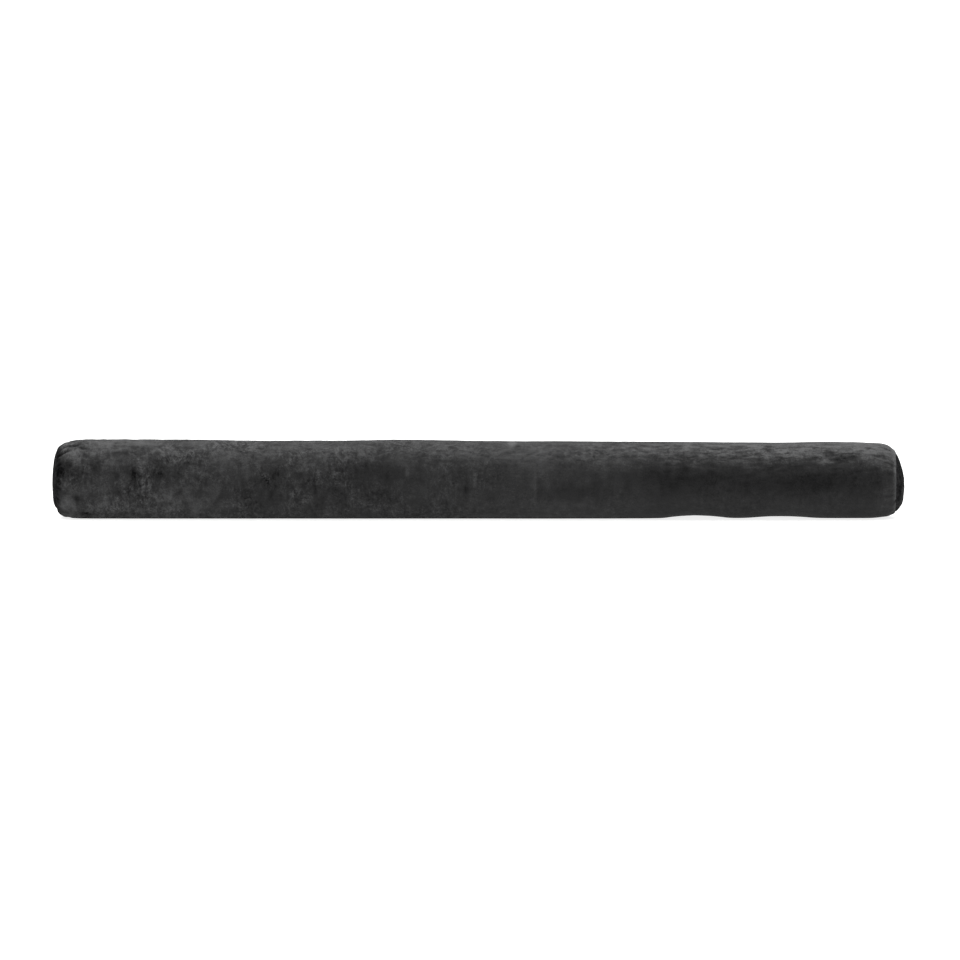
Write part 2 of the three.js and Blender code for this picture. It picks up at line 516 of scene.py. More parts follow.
velvetRelief = {
    # The tucks at each end, where the sleeve is eased onto its panel, in mm
    "tucks": 36,
    "tuckDepth": (0.5, 2.4),  # shallowest and deepest
    "tuckReach": (5.0, 16.0),  # in from the seam
    "tuckWidth": (1.5, 2.6),
    "tuckScatter": 0.32,  # off their even places, as a share of one step
    "tuckLean": 0.18,  # sideways for each mm that they run in
    "tuckSpread": 14,  # run in which a tuck grows twice as wide
    "tuckStart": 1.1,  # run in which it reaches its depth
    "tuckRidge": 0.35,  # of its depth, pushed up beside it
    "seamRadius": 33,
    "shoulderRadius": 36,
    # The shoulders
    "shoulderFill": 0.8 * mm,  # the filling packed into the corner behind each seam
    "fillReach": 4.5 * mm,
    "heelReach": 7 * mm,
    "fallReach": 9 * mm,
    "fallWidth": 50,  # degrees to each side of the top
    # The closing seam
    "seamDepth": 1.5 * mm,
    "seamWidth": 1.9 * mm,
    "seamPucker": 0.45 * mm,
    "puckerPitch": 8.5 * mm,
    "puckerPlace": 5 * mm,  # out from the seam, on both sides
    "puckerWidth": 4 * mm,
    "puckerDrift": 3,  # how unevenly the puckers follow each other, in radians
    "seamEnds": 6 * mm,  # in which the groove runs out before each end
    # The run between the ends
    "crinkle": 0.16 * mm,
    "strokedCrinkle": 0.288 * mm,
    "lumps": 0.30 * mm,  # of the filling
    "topFill": 0.65 * mm,  # how much fuller the top is on the right
    "topFillWidth": 40,  # degrees to each side of the top
    # The underside
    "pressed": (0.1 * mm, 2.5 * mm),  # heights over which the relief comes in
    "spread": 0.8 * mm,  # how far the filling's weight spreads a ring that lies on the floor
    "spreadPlace": 0.9 * mm,  # above the floor
    "spreadWidth": 1.1 * mm,
    "lifted": (0.2 * mm, 0.8 * mm),  # heights over which a lifted ring loses that
}
# Areas where the pile lies in its own way, and where highlight and shade are painted
pileAreas = {
    # Along the roll: where each starts, and where it is full
    "right": (0.05, 0.30),
    "left": (-0.12, -0.40),
    "strokedRun": (0.0, 0.30),
    "crushedRun": (0.10, -0.36),
    "tonguesRun": (0.02, 0.08, 0.20, 0.30),  # and where it is still full, and ends
    # Round the front, in degrees: the same for the low area, and the middle and half width of the rest
    "low": (-80, -110),
    "top": (-20, 36),
    "stroked": (-38, 26),
    "middle": (-84, 22),
    "tongues": (-80, 28),
    "ragged": (2.5, 3.5),  # how uneven a patch's edge is along and round, in mm
}
# How crushed the pile is, as a share: everywhere, how much more on the crushed run, and in a stretch that
# has its own middle and half width
pileCrush = {
    "least": 0.30,
    "crushedRun": 0.70,
    "stretch": 0.15,
    "stretchMiddle": -0.06,
    "stretchWidth": 0.10,
}
# How much lighter the pile is made, or darker below 0; some of these are painted highlight and painted
# shade, as noted
pileTones = {
    "tucks": 0.45,  # painted shade for each mm of a tuck's depth, and painted highlight on the ridges beside it
    "crinkles": 0.40,
    "strokedCrinkles": 0.6,
    "broad": 0.30,
    # painted highlight along the top, and on the right painted shade across the middle and the low front
    "top": 0.55,
    "topRightHighlight": 0.45,
    "middleRightShade": -0.9,
    "lowRightShade": -0.25,
    "left": 0.15,
    "lowLeft": 0.30,
    "tongues": 0.42,  # they hang down from the stroked top on the right half
    # painted shade along the underside, where the roll meets the floor
    "onFloor": -3.0,
    "onFloorHeights": (0.4 * mm, 2.0 * mm),  # over which that fades
    "lipPaintedLightLow": 0.35,  # share of a lip's painted light that is lost low on the front
}
# Soft patterns on the flat cloth: size along and round in mm, and seed
patterns = {
    "crossways": (3.8, 8, 21),
    "blots": (8, 9, 22),
    "lengthways": (13, 4.8, 23),
    "lumps": (55, 35, 24),
    "broad": (38, 24, 25),
    "patchy": (26, 22, 26),
    "tongues": (6, 20, 27),
    "raggedAlong": (9, 9, 61),
    "raggedRound": (8, 12, 62),
}


def layOut(points, turns):
    # Where each point of the cloth lies on the roll and on the flat cut
    x = points[:, :, 0]
    turn = np.broadcast_to(turns[None, :], x.shape)
    front = (np.degrees(turn) + 180) % 360 - 180  # degrees from the top, negative on the front
    girth = sleevePlan["girth"]
    return {
        "x": x,
        "z": points[:, :, 2],
        "turn": turn,
        "front": front,
        "along": np.broadcast_to(arcsOf(points)[:, None], x.shape),
        "around": np.broadcast_to(np.arange(len(turns)) / len(turns) * girth, x.shape),
        "girth": girth,
        "offSeams": smooth(fromSeams(x), 0, velvetRelief["seamEnds"]),
        "right": smooth(x, *pileAreas["right"]),
        "low": smooth(front, *pileAreas["low"]),
    }


def roundFrom(cloth, middle):
    # Distance round the roll, in mm, from a place given in degrees from the top
    return ((cloth["front"] - middle + 180) % 360 - 180) / 360 * cloth["girth"] / mm


def bandOf(cloth, name):
    middle, width = pileAreas[name]
    return hump(cloth["front"] - middle, width)


def pattern(cloth, name):
    long, wide, seed = patterns[name]
    return unevenness(cloth["along"], cloth["around"], (long * mm, wide * mm), seed, cloth["girth"])


def marksOn(cloth):
    depth = np.zeros_like(cloth["x"])
    nap = np.zeros_like(cloth["x"])
    for at, middle, long, wide, lean, tone, rise in crushMarks:
        dx = cloth["x"] / mm - at
        dr = roundFrom(cloth, middle)
        c, s = math.cos(math.radians(lean)), math.sin(math.radians(lean))
        a = (dx * c + dr * s) / long
        b = (dr * c - dx * s) / wide
        mark = np.exp(-a * a - b * b)
        depth += rise * mm * mark
        nap += tone * mark
    return depth, nap


def patchesOn(cloth):
    # Each patch has a ragged edge
    nap = np.zeros_like(cloth["x"])
    raggedAlong = pileAreas["ragged"][0] * pattern(cloth, "raggedAlong")
    raggedRound = pileAreas["ragged"][1] * pattern(cloth, "raggedRound")
    for at, middle, long, wide, tone in napPatches:
        a = (cloth["x"] / mm - at + raggedAlong) / long
        b = (roundFrom(cloth, middle) + raggedRound) / wide
        nap += tone * np.exp(-((a * a + b * b) ** 1.5))
    return nap


def tucks(cloth, end, relief):
    # Small uneven folds that run in from the seam, each with a soft ridge between it and the next
    draw = np.random.RandomState(round(100 * end["twist"]))
    inward = np.abs(cloth["x"] - end["seamX"]) / mm
    total = np.zeros_like(inward)
    for k in range(relief["tucks"]):
        scatter = draw.uniform(-relief["tuckScatter"], relief["tuckScatter"])
        at = (k + scatter) * 2 * math.pi / relief["tucks"]
        strength = draw.uniform(0, 1) ** 1.6
        deep = np.interp(strength, (0, 1), relief["tuckDepth"])
        reach = np.interp(draw.uniform(0.5, 1) * (0.4 + 0.6 * strength), (0, 1), relief["tuckReach"])
        wide = draw.uniform(*relief["tuckWidth"])
        lean = draw.uniform(-relief["tuckLean"], relief["tuckLean"])
        bent = cloth["turn"] - at - lean * inward / relief["seamRadius"]
        offset = (bent + math.pi) % (2 * math.pi) - math.pi
        across = offset * relief["shoulderRadius"] / (wide * (1 + inward / relief["tuckSpread"]))
        run = (1 - np.exp(-inward / relief["tuckStart"])) * np.exp(-((inward / reach) ** 1.5))
        fold = np.exp(-across * across) - relief["tuckRidge"] * np.exp(-across * across / 6)
        total -= deep * mm * run * fold
    return total


def shouldersOn(cloth, relief, tones):
    depth = np.zeros_like(cloth["x"])
    nap = np.zeros_like(cloth["x"])
    upward = np.cos(cloth["turn"])
    for end in ends.values():
        inward = np.abs(cloth["x"] - end["seamX"])
        fold = tucks(cloth, end, relief)
        depth += fold
        fuller = 0.75 - 0.25 * upward  # the filling sinks a little
        depth += relief["shoulderFill"] * fuller * swell(inward, relief["fillReach"])
        depth += end["heel"] * np.maximum(0, -upward) ** 2 * swell(inward, relief["heelReach"])
        depth -= end["fall"] * hump(cloth["front"], relief["fallWidth"]) * swell(inward, relief["fallReach"])
        # Painted shade in the tucks' folds and painted highlight on the ridges between them
        nap += tones["tucks"] * fold / mm
        # Painted shade beside the left seam and a painted highlight on the right lip
        nap += end["lipPaintedLight"] * (1 - tones["lipPaintedLightLow"] * cloth["low"]) * hump(inward, end["lipPaintedLightWidth"])
    return depth, nap


def closingSeamOn(cloth, relief):
    # A groove, with puckers that the stitching pulls in on both sides of it
    across = (cloth["around"] + cloth["girth"] / 2) % cloth["girth"] - cloth["girth"] / 2
    groove = hump(across, relief["seamWidth"])
    beside = hump(np.abs(across) - relief["puckerPlace"], relief["puckerWidth"])
    drift = relief["puckerDrift"] * unevenness(cloth["along"], across, (0.03, 1), 5)
    pucker = np.sin(2 * math.pi * cloth["along"] / relief["puckerPitch"] + drift)
    return (relief["seamPucker"] * beside * pucker - relief["seamDepth"] * groove) * cloth["offSeams"]


def velvetOn(cloth, relief, tones):
    # The pile is crushed most at the left third and hardly at all at the right. It is lighter low on the
    # left. A painted highlight lightens the top, most at the right, and painted shade darkens the middle and
    # the low front on the right.
    x, low, right = cloth["x"], cloth["low"], cloth["right"]
    crush = pileCrush["least"] + pileCrush["crushedRun"] * smooth(x, *pileAreas["crushedRun"])
    crush += pileCrush["stretch"] * hump(x - pileCrush["stretchMiddle"], pileCrush["stretchWidth"])
    left = smooth(x, *pileAreas["left"])
    top = bandOf(cloth, "top")
    band = bandOf(cloth, "stroked")
    stroked = band * smooth(x, *pileAreas["strokedRun"]) * pattern(cloth, "lengthways")
    crinkles = crush * (pattern(cloth, "crossways") + pattern(cloth, "blots"))
    broad = pattern(cloth, "broad")

    depth = relief["crinkle"] * crinkles + relief["strokedCrinkle"] * stroked
    depth += relief["lumps"] * pattern(cloth, "lumps") * cloth["offSeams"]
    depth += relief["topFill"] * right * hump(cloth["front"], relief["topFillWidth"]) * cloth["offSeams"]

    nap = tones["crinkles"] * crinkles + tones["strokedCrinkles"] * stroked
    nap += tones["broad"] * (0.45 + 0.55 * crush) * broad
    # Painted highlight along the top, stronger on the right, and painted shade across the middle and the low
    # front on the right
    nap += tones["top"] * top + tones["topRightHighlight"] * right * top
    nap += tones["middleRightShade"] * right * bandOf(cloth, "middle") + tones["lowRightShade"] * right * low
    nap += tones["left"] * left + tones["lowLeft"] * left * low
    tongues = bandOf(cloth, "tongues") * within(x, *pileAreas["tonguesRun"])
    nap += tones["tongues"] * tongues * pattern(cloth, "tongues")
    # Painted shade along the underside, where the roll meets the floor
    nap += tones["onFloor"] * (1 - smooth(cloth["z"], *tones["onFloorHeights"])) * (1 + 0.6 * broad)

    patchy = 0.55 + 0.45 * pattern(cloth, "patchy")
    crush = crush * patchy
    # The curling lines show most along the top band: partly the pile's own marks, partly painted highlight
    swirl = (0.35 * crush + 0.9 * band * (1 - 0.6 * right)) * (0.4 + 0.6 * patchy)
    flecks = band * (0.25 + 0.75 * right) + 0.12
    return depth, {"nap": nap, "crush": crush + 0.35 * band * right, "swirl": swirl, "flecks": flecks}


def spreadOn(cloth, relief):
    lowest = cloth["z"].min(1)[:, None]
    lying = (1 - smooth(lowest, *relief["lifted"])) * (1 - cloth["right"])
    return relief["spread"] * hump(cloth["z"] - relief["spreadPlace"], relief["spreadWidth"]) * lying


def detail(cloth, relief, tones):
    depth, looks = velvetOn(cloth, relief, tones)
    for moreDepth, moreNap in (marksOn(cloth), shouldersOn(cloth, relief, tones)):
        depth += moreDepth
        looks["nap"] += moreNap
    looks["nap"] += patchesOn(cloth)
    depth += closingSeamOn(cloth, relief)
    return depth * smooth(cloth["z"], *relief["pressed"]) + spreadOn(cloth, relief), looks


# The lip round each seam, ring by ring: mm out along the roll, and mm in towards its middle line
sleeveLip = [(0.4, 0.35), (0.55, 0.9), (0.4, 1.45), (0.0, 1.85), (-0.8, 2.1), (-1.7, 2.1)]
crownShares = (0.82, 0.64, 0.44, 0.22)  # rings of the filling behind a panel, as shares of its radius


def closeEnd(ring, end, skin):
    # The lip that the cloth makes as it turns into the seam, then the filling's crown behind the panel
    side, height = end["side"], end["middle"]
    rows = []
    radius = np.hypot(ring[:, 1], ring[:, 2] - height)
    away = np.stack([ring[:, 1] / radius, (ring[:, 2] - height) / radius], 1)
    for out, inward in sleeveLip:
        r = radius - inward * mm
        x = np.full(len(r), end["seamX"] + side * out * mm)
        rows.append(np.stack([x, away[:, 0] * r, height + away[:, 1] * r], 1))
    for share in crownShares:
        y = away[:, 0] * share * end["rim"]
        z = height + away[:, 1] * share * end["rim"]
        rows.append(np.array([(meetEnd(skin, side, a, b).x, a, b) for a, b in zip(y, z)]))
    return rows, (meetEnd(skin, side, 0, height).x, 0, height)


def sleeveMesh(rows, leftPole, rightPole):
    steps, rings = len(rows[0]), len(rows)
    last = (rings - 1) * steps
    faces = gridFaces(rings, steps)
    faces += [((s + 1) % steps, rings * steps, s) for s in range(steps)]
    faces += [(rings * steps + 1, last + (s + 1) % steps, last + s) for s in range(steps)]
    return meshPiece("velvet_sleeve", np.concatenate([np.concatenate(rows), [leftPole], [rightPole]]), faces)


def laySleeve(piece, cloth, looks, before, after, plan):
    # The rows that close each end carry on from the sleeve's first and last ring
    def spread(values):
        return np.concatenate([np.repeat(values[:1], before, 0), values, np.repeat(values[-1:], after, 0)])

    for name, values in looks.items():
        lay(piece, name, np.append(spread(values).reshape(-1), [0, 0]))
    along, around = spread(cloth["along"]), spread(cloth["around"])
    along[:before] -= np.arange(before, 0, -1)[:, None] * plan["lipStep"]
    along[-after:] += np.arange(1, after + 1)[:, None] * plan["lipStep"]
    corners = cornersOf(piece)
    flat = np.stack([
        np.append(along.reshape(-1), [along[0, 0], along[-1, 0]])[corners],
        np.append(around.reshape(-1), [0, 0])[corners],
    ], 1)
    for polygon in piece.data.polygons:
        if polygon.loop_total == 4:  # a face that crosses the closing seam is laid out past the cut edge
            here = slice(polygon.loop_start, polygon.loop_start + 4)
            if np.ptp(flat[here, 1]) > plan["girth"] / 2:
                flat[here, 1] += np.where(flat[here, 1] < plan["girth"] / 2, plan["girth"], 0.0)
    layCut(piece, flat)


def makeSleeve(plan):
    skin = surfaceOf("sleeve")
    firstTurn = math.radians(plan["closingSeam"])
    turns = firstTurn + np.arange(plan["roundSteps"]) * 2 * math.pi / plan["roundSteps"]
    points = restingSkin(skin, ringPlaces(plan), turns, plan)
    print("sleeve skin:", points.shape[0], "rings of", points.shape[1])
    draw = np.random.RandomState(plan["seed"])
    wrinkles = draw.normal(0, plan["wrinkles"], points.shape[:2])[:, :, None]
    settled = settle(points + gridNormals(points) * wrinkles, plan, settlePlan)
    points = gathered(points, settled, settlePlan)
    print("sleeve settled over its filling")
    points = refine(points)
    turns = firstTurn + np.arange(points.shape[1]) * 2 * math.pi / points.shape[1]
    cloth = layOut(points, turns)
    depth, looks = detail(cloth, velvetRelief, pileTones)
    points = points + gridNormals(points) * depth[:, :, None]
    points[:, :, 2] = np.maximum(points[:, :, 2], 0.0)
    leftRows, leftPole = closeEnd(points[0], ends["left"], skin)
    rightRows, rightPole = closeEnd(points[-1], ends["right"], skin)
    piece = sleeveMesh(leftRows[::-1] + list(points) + rightRows, leftPole, rightPole)
    laySleeve(piece, cloth, looks, len(leftRows), len(rightRows), plan)
    piece.data.shade_smooth()
    return piece, points


for end in ends.values():
    fitEnd(end)
velvetSleeve, sleeveSkin = makeSleeve(sleevePlan)
print("sleeve made:", len(velvetSleeve.data.polygons), "faces")


panelPlan = {
    "roundSteps": 144,
    "rings": 26,
    "edge": 30.9 * mm,  # finished radius inside the sleeve's lip
    "pinch": 2.2 * mm,  # how far the seam draws the panel's edge in
    "pinchReach": 1.8 * mm,
    "puckers": 17,
    "puckerDepth": 1.1 * mm,
    "puckerReach": 6 * mm,  # in from the edge
    "dents": 0.25 * mm,
    "thickness": 1.7 * mm,
    "edgeThickness": 0.35,  # as a share
    "dropFrom": (0.6, 1.0),  # share of the way down, where the lower edge's stretch starts and is full
    "sagFrom": (11 * mm, 25 * mm),  # the same below the middle, for the push on the lower half
    "riseFrom": (-6 * mm, 18 * mm),  # and above it, for the upper half
    "calmEdge": (31 * mm, 30 * mm),  # radius at which neither is pushed, and at which both are
    "highlightDown": (-8 * mm, 6 * mm, 18 * mm, 30 * mm),  # the patch of painted highlight, down from the middle
    "highlightAcross": (-22 * mm, -12 * mm, 4 * mm, 24 * mm),
    "crush": 0.7,  # how crushed, curled and flecked the pile is
    "swirl": 0.4,
    "flecks": 0.3,
}


def panelRing(share, turn, end, outer, plan):
    # One ring of the panel's face and of its back, with the lie of its pile
    side, middle = end["side"], end["middle"]
    radius = share * plan["edge"]
    lower = 1 + end["drop"] * smooth(-np.cos(turn), *plan["dropFrom"])
    y, z = radius * np.sin(turn), middle + radius * lower * np.cos(turn)
    out = np.array([meetEnd(outer, side, a, b).x * side for a, b in zip(y, z)])
    fromEdge = plan["edge"] - radius
    near = math.exp(-fromEdge / plan["puckerReach"])
    wave = plan["puckers"] * turn + 2.2 * np.sin(3 * turn + end["twist"]) + end["twist"]
    dents = unevenness(y, z, (9 * mm, 9 * mm), 31 + side)
    out = out + plan["puckerDepth"] * near * np.cos(wave) * (0.6 + 0.4 * np.sin(2 * turn))
    out = out + plan["dents"] * dents
    lowSide = end["sag"] * smooth(middle - z, *plan["sagFrom"])
    highSide = end["rise"] * smooth(z - middle, *plan["riseFrom"])
    out = out + (lowSide + highSide) * smooth(radius, *plan["calmEdge"])
    thick = plan["thickness"] * (plan["edgeThickness"] + (1 - plan["edgeThickness"]) * (1 - near))
    back = np.stack([side * (out - thick), y, z], 1)
    out = out - plan["pinch"] * math.exp(-fromEdge / plan["pinchReach"])
    face = np.stack([side * out, y, z], 1)
    nap = 0.6 * dents + 0.5 * unevenness(y, z, (3 * mm, 8 * mm), 41 + side)
    # Painted highlight low on the panel
    nap += end["panelHighlight"] * within(middle - z, *plan["highlightDown"]) * within(y, *plan["highlightAcross"])
    return face, back, nap


def panelFaces(count, steps, side):
    faces = []
    for s in range(steps):
        t = (s + 1) % steps
        faces.append((count * steps, t, s))
        for r in range(count - 1):
            faces.append((r * steps + s, r * steps + t, (r + 1) * steps + t, (r + 1) * steps + s))
        faces.append(((count - 1) * steps + s, (count - 1) * steps + t, count * steps + 1))
    return faces if side > 0 else [face[::-1] for face in faces]


def makePanel(name, end, plan):
    side, middle = end["side"], end["middle"]
    outer = surfaceOf(end["node"])
    steps = plan["roundSteps"]
    turn = np.arange(steps) * 2 * math.pi / steps
    shares = np.linspace(0, 1, plan["rings"]) ** 0.8  # closer together at the edge
    face, back, nap = zip(*[panelRing(share, turn, end, outer, plan) for share in shares[1:]])
    top = meetEnd(outer, side, 0, middle).x * side
    poles = [(side * top, 0, middle), (side * (top - plan["thickness"]), 0, middle)]
    rows = face + back[::-1]
    points = np.concatenate(rows + (poles,))
    piece = meshPiece(name, points, panelFaces(len(rows), steps, side))
    lay(piece, "nap", np.concatenate(nap + nap[::-1] + ([0, 0],)))
    for look in ("crush", "swirl", "flecks"):
        lay(piece, look, np.full(len(points), plan[look]))
    layCut(piece, points[cornersOf(piece)][:, 1:])
    piece.data.shade_smooth()
    return piece


endPieces = {name: makePanel("velvet_end_" + name, end, panelPlan) for name, end in ends.items()}
print("end panels made")


stitchPlan = {
    "from": -82 * mm,  # the stretch of the long seam that was left open to fill the roll
    "to": 74 * mm,
    "sunk": 0.55 * mm,  # how deep the thread pulls in
    "Pitch": 5.2 * mm,
    "Bar": 2.7 * mm,  # length of a stitch across the seam
    "Arch": 0.42,  # its height, as a share of its length
    "Thread": 0.23 * mm,  # radius
    "Unevenness": 0.22,
    "Seed": 5,
}


def seamLine(points, plan):
    # Along the closing seam, between the two cut edges, with the way outwards at each point
    here = (points[:, 0, 0] > plan["from"]) & (points[:, 0, 0] < plan["to"])
    middle = (points[here, 4] + points[here, -4]) / 2
    outward = gridNormals(points)[here][:, [6, -6]].mean(1)
    return middle - outward * plan["sunk"], outward


def stitchTree():
    tree = bpy.data.node_groups.new("ladder stitches", "GeometryNodeTree")
    tree.interface.new_socket("Geometry", in_out="INPUT", socket_type="NodeSocketGeometry")
    for name in ("Pitch", "Bar", "Arch", "Thread", "Unevenness"):
        tree.interface.new_socket(name, in_out="INPUT", socket_type="NodeSocketFloat")
    tree.interface.new_socket("Seed", in_out="INPUT", socket_type="NodeSocketInt")
    tree.interface.new_socket("Finish", in_out="INPUT", socket_type="NodeSocketMaterial")
    tree.interface.new_socket("Geometry", in_out="OUTPUT", socket_type="NodeSocketGeometry")
    given = tree.nodes.new("NodeGroupInput").outputs
    result = tree.nodes.new("NodeGroupOutput")
    link = tree.links.new

    def step(kind, values=(), **settings):
        made = tree.nodes.new(kind)
        for key, value in settings.items():
            setattr(made, key, value)
        for key, value in dict(values).items():
            if isinstance(value, bpy.types.NodeSocket):
                link(value, made.inputs[key])
            else:
                made.inputs[key].default_value = value
        return made

    def times(first, second):
        return step("ShaderNodeMath", {0: first, 1: second}, operation="MULTIPLY").outputs[0]

    def place(**sides):
        return step("ShaderNodeCombineXYZ", sides).outputs[0]

    # One stitch: a short arch of thread across the seam
    half = times(given["Bar"], 0.5)
    start = place(Y=times(half, -1.0))
    crest = place(Z=times(given["Bar"], given["Arch"]))
    arch = step("GeometryNodeCurveQuadraticBezier", {
        "Resolution": 8, "Start": start, "Middle": crest, "End": place(Y=half),
    })
    thread = step("GeometryNodeCurvePrimitiveCircle", {"Resolution": 8, "Radius": given["Thread"]})
    bar = step("GeometryNodeCurveToMesh", {
        "Curve": arch.outputs[0], "Profile Curve": thread.outputs[0], "Fill Caps": True,
    })
    # A stitch at each pitch along the seam, square to it and facing out
    seam = step("GeometryNodeMeshToCurve", {"Mesh": given["Geometry"]})
    places = step("GeometryNodeResampleCurve", {
        "Curve": seam.outputs[0], "Length": given["Pitch"],
    }, mode="LENGTH")
    tangent = step("GeometryNodeInputTangent").outputs[0]
    outward = step("GeometryNodeInputNamedAttribute", {"Name": "outward"}, data_type="FLOAT_VECTOR")
    facing = step("FunctionNodeAlignRotationToVector", {"Vector": outward.outputs[0]}, axis="Z")
    along = step("FunctionNodeAlignRotationToVector", {
        "Rotation": facing.outputs[0], "Vector": tangent,
    }, axis="X", pivot_axis="Z")
    # Sewn by hand, so no two are quite alike
    wobble = step("FunctionNodeRandomValue", {"Seed": given["Seed"]}, data_type="FLOAT")
    ranged = [socket for socket in wobble.inputs if socket.enabled and socket.name in ("Min", "Max")]
    link(times(given["Unevenness"], -1.0), ranged[0])
    link(given["Unevenness"], ranged[1])
    spin = [socket for socket in wobble.outputs if socket.enabled][0]
    turned = step("FunctionNodeRotateRotation", {
        "Rotation": along.outputs[0], "Rotate By": place(Z=spin),
    }, rotation_space="LOCAL")
    size = step("ShaderNodeMath", {0: spin, 1: 1.0}, operation="ADD").outputs[0]
    bars = step("GeometryNodeInstanceOnPoints", {
        "Points": places.outputs[0],
        "Instance": bar.outputs[0],
        "Rotation": turned.outputs[0],
        "Scale": size,
    })
    real = step("GeometryNodeRealizeInstances", {"Geometry": bars.outputs[0]})
    coloured = step("GeometryNodeSetMaterial", {"Geometry": real.outputs[0], "Material": given["Finish"]})
    link(coloured.outputs[0], result.inputs[0])
    return tree


def makeStitches(points, plan, finish):
    path, outward = seamLine(points, plan)
    rail = meshPiece("seam line", path, edges=[(i, i + 1) for i in range(len(path) - 1)])
    field = rail.data.attributes.new("outward", "FLOAT_VECTOR", "POINT")
    field.data.foreach_set("vector", outward.reshape(-1).astype(np.float32))
    modifier = rail.modifiers.new("stitches", "NODES")
    tree = stitchTree()
    modifier.node_group = tree
    given = {**plan, "Finish": finish}
    for item in tree.interface.items_tree:
        if item.item_type == "SOCKET" and item.in_out == "INPUT" and item.name in given:
            modifier[item.identifier] = given[item.name]
    shown = rail.evaluated_get(bpy.context.evaluated_depsgraph_get())
    mesh = bpy.data.meshes.new_from_object(shown)
    bpy.data.objects.remove(rail)
    mesh.name = "closing_stitches"
    piece = bpy.data.objects.new("closing_stitches", mesh)
    bpy.context.scene.collection.objects.link(piece)
    piece.data.shade_smooth()
    return piece


velvetPlan = {
    # How light the pile is where it lies darkest, midway and lightest
    "dark": 0.002,
    "middle": 0.0285,
    "light": 0.088,
    "sheen": 0.05,
    "sheenRoughness": 0.4,
    "specular": 0.03,
    "turnedAwayShade": 0.0,  # painted shade: how much darker the pile is made where it is seen from the side
    "roughness": 0.86,
    "contrast": 0.4,
    # Each mark's size along the roll and round it, then its detail, its roughness and how bent it is
    "streak": (4.0 * mm, 9.0 * mm, 3.0, 0.6, 0.4),
    "blot": (9 * mm, 9 * mm, 3.0, 0.6, 0.6),
    "crinkle": (2.6 * mm, 3.6 * mm, 2.0, 0.65, 1.0),
    "crease": (8 * mm, 7 * mm, 2.0, 0.5, 1.4),
    "curl": (12 * mm, 12 * mm, 1.0, 0.4, 1.2),
    "fleck": (15 * mm, 5.0 * mm, 3.0, 0.62, 0.5),
    "grain": (0.9 * mm, 0.9 * mm, 2.0, 0.6, 0.0),
    "pile": (0.5 * mm, 1.6 * mm, 2.0, 0.7, 0.3),
    # How sharp the thin marks are, and how much of the crushing is fine crinkles
    "creaseSharpness": 18.0,
    "curlSharpness": 6.5,
    "crinkleShare": 0.9,
    # How strongly each shows in the tone and in the relief
    "naps": 0.52,
    "tones": {"crushed": 2.5, "creased": -1.3, "parted": 0.55, "flecked": 4.2, "grain": 0.9, "pile": 1.1},
    "bumps": {"parted": 0.3, "crushed": 1.2, "flecked": 1.6, "creased": -0.5, "grain": 0.6, "pile": 0.6},
    "bumpDepth": 0.6 * mm,
}
# The velvet of the end panels differs in these
endPlan = {
    "dark": 0.0015,
    "middle": 0.022,
    "light": 0.055,
    "sheen": 0.04,
    "specular": 0.0,
    # painted shade where the panels are seen from the side
    "turnedAwayShade": 1.03,
}


def addNode(tree, kind, **settings):
    made = tree.nodes.new(kind)
    for key, value in settings.items():
        if key in made.inputs:
            made.inputs[key].default_value = value
        else:
            setattr(made, key, value)
    return made


def addMath(tree, operation, first, second):
    made = tree.nodes.new("ShaderNodeMath")
    made.operation = operation
    for socket, value in zip(made.inputs, (first, second)):
        if isinstance(value, (int, float)):
            socket.default_value = value
        else:
            tree.links.new(value, socket)
    return made.outputs[0]


def velvetMarks(tree, plan):
    # The marks in the pile, each a value about 0 at every place on the flat cut
    cut = addNode(tree, "ShaderNodeUVMap", uv_map="cut").outputs[0]

    def given(name):
        return addNode(tree, "ShaderNodeAttribute", attribute_name=name).outputs["Fac"]

    def noise(name):
        long, wide, fine, rough, bent = plan[name]
        placed = addNode(tree, "ShaderNodeMapping", Scale=(1 / long, 1 / wide, 1))
        made = addNode(tree, "ShaderNodeTexNoise", Scale=1.0, Detail=fine, Roughness=rough, Distortion=bent)
        tree.links.new(cut, placed.inputs["Vector"])
        tree.links.new(placed.outputs[0], made.inputs["Vector"])
        return addMath(tree, "SUBTRACT", made.outputs["Fac"], 0.5)

    def plus(first, second):
        return addMath(tree, "ADD", first, second)

    def times(first, second):
        return addMath(tree, "MULTIPLY", first, second)

    def line(values, width, sharpness):
        # Thin lines where the values cross 0
        size = times(addMath(tree, "ABSOLUTE", values, 0.0), sharpness)
        return addMath(tree, "SUBTRACT", width, size)

    crush = given("crush")
    blots = noise("blot")
    crinkles = times(noise("crinkle"), plan["crinkleShare"])
    crushed = times(plus(plus(noise("streak"), blots), crinkles), crush)
    # Dark creases where the crushed pile folds over, only here and there
    folds = addMath(tree, "MAXIMUM", line(noise("crease"), 1.0, plan["creaseSharpness"]), 0.0)
    place = addNode(tree, "ShaderNodeClamp")
    tree.links.new(plus(times(blots, 5.0), 0.35), place.inputs["Value"])
    creased = times(times(folds, place.outputs[0]), crush)
    # The pile parts along curling lines, which catch the light
    curls = line(noise("curl"), 0.8, plan["curlSharpness"])
    return {
        "nap": given("nap"),
        "crushed": crushed,
        "creased": creased,
        "parted": times(addMath(tree, "MAXIMUM", curls, -0.25), given("swirl")),
        "flecked": times(noise("fleck"), given("flecks")),  # lie along the roll
        "grain": noise("grain"),
        "pile": noise("pile"),
    }


